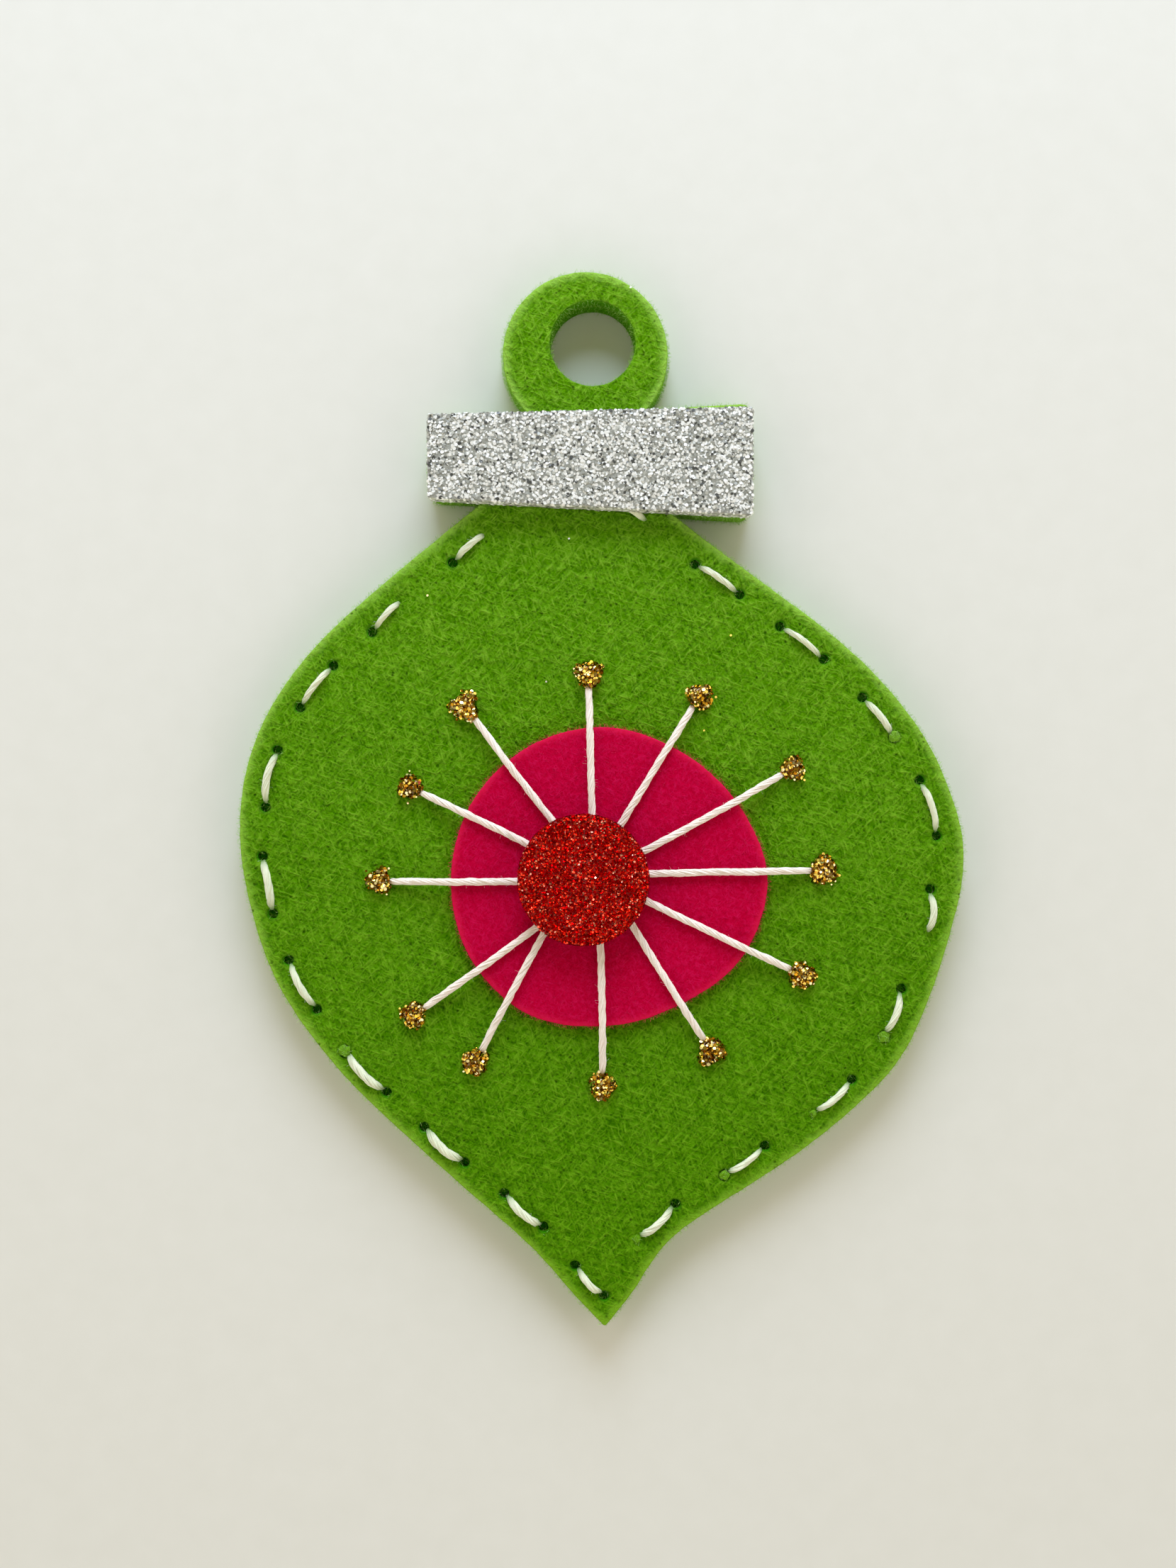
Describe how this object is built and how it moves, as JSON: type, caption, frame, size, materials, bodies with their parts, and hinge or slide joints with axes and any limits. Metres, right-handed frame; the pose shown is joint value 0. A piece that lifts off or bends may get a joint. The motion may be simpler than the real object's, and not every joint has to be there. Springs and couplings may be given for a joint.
{
  "type": "felt christmas ornament",
  "caption": "Flat hand-sewn green felt bauble with a hanging ring, a silver glitter cap band and a starburst of white floss rays tipped with gold glitter over a pink disc.",
  "frame": {"origin": "under the middle of the ornament's outline, on the back face that it lies on", "axes": "+Z out of the decorated front face, +Y from the pointed tip towards the hanging ring"},
  "size_m": [0.0892, 0.13, 0.0087],
  "materials": {
    "green_felt": "matte needled felt with short loose fibres",
    "pink_felt": "matte fine felt",
    "white_floss": "soft six-strand floss",
    "silver_glitter_foam": "foam sheet coated with silver glitter",
    "red_glitter_foam": "foam sheet coated with red glitter",
    "gold_glitter_glue": "dried glue drop full of gold glitter",
    "clear_glue": "set craft glue, out of sight"
  },
  "bodies": {
    "root": {"back_felt": "green_felt", "front_felt": "green_felt", "edge_floss": "white_floss", "cap_band_glue": "clear_glue", "cap_band": "silver_glitter_foam", "pink_disc": "pink_felt", "star_floss": "white_floss", "red_disc_glue": "clear_glue", "red_disc": "red_glitter_foam", "gold_dot_01": "gold_glitter_glue", "gold_dot_02": "gold_glitter_glue", "gold_dot_03": "gold_glitter_glue", "gold_dot_04": "gold_glitter_glue", "gold_dot_05": "gold_glitter_glue", "gold_dot_06": "gold_glitter_glue", "gold_dot_07": "gold_glitter_glue", "gold_dot_08": "gold_glitter_glue", "gold_dot_09": "gold_glitter_glue", "gold_dot_10": "gold_glitter_glue", "gold_dot_11": "gold_glitter_glue", "gold_dot_12": "gold_glitter_glue"}
  },
  "joints": []
}
